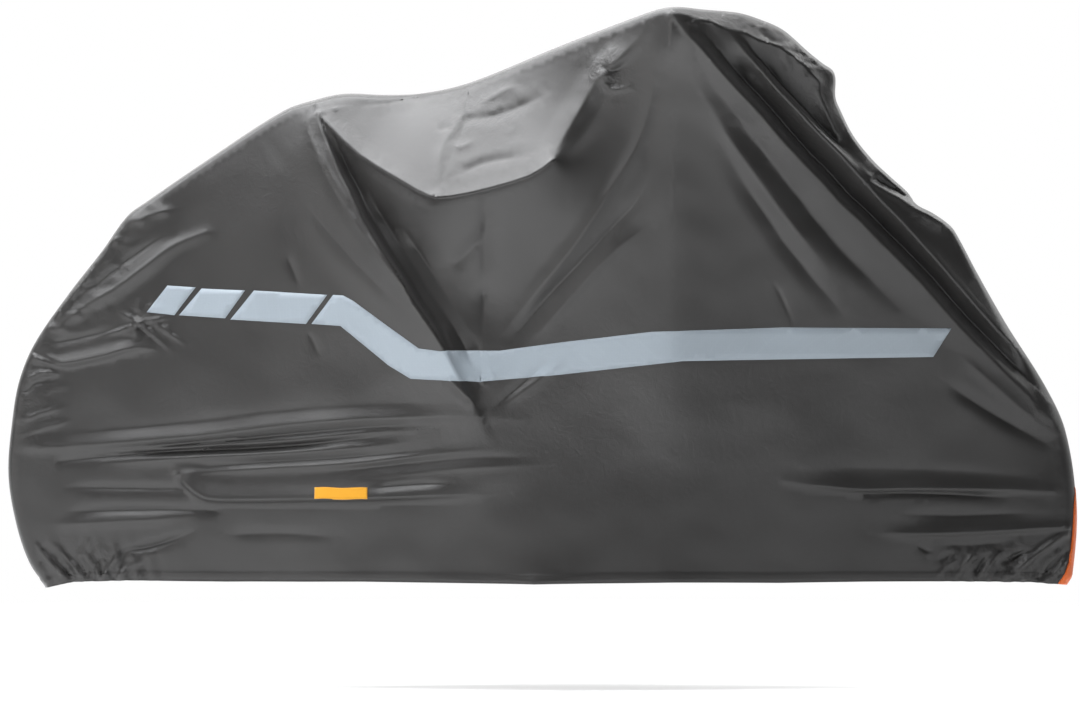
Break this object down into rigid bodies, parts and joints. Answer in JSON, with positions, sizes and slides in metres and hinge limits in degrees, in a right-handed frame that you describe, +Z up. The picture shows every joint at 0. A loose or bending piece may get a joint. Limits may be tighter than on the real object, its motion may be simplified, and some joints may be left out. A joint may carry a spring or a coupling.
{
  "type": "fitted bicycle cover",
  "caption": "Hollow draped bicycle cover in charcoal coated nylon, gathered at both hem ends, with a pale reflective band on each side and an orange nose tape.",
  "frame": {"origin": "where the cover rests on the handlebar, on the inside of its top, on the middle plane", "axes": "+X to the nose (front wheel), +Y to the cover's left side, +Z up"},
  "size_m": [1.8061, 0.6083, 0.9778],
  "materials": {
    "charcoal_nylon": "coated nylon with a soft sheen",
    "reflective_film": "pale grey retroreflective film",
    "amber_webbing": "woven webbing",
    "orange_tape": "woven tape"
  },
  "bodies": {
    "root": {"cover_cloth": "charcoal_nylon", "band_rear_right": "reflective_film", "band_rear_left": "reflective_film", "band_rear_middle_right": "reflective_film", "band_rear_middle_left": "reflective_film", "band_middle_right": "reflective_film", "band_middle_left": "reflective_film", "band_long_right": "reflective_film", "band_long_left": "reflective_film", "side_tab": "amber_webbing", "nose_tape": "orange_tape"}
  },
  "joints": []
}
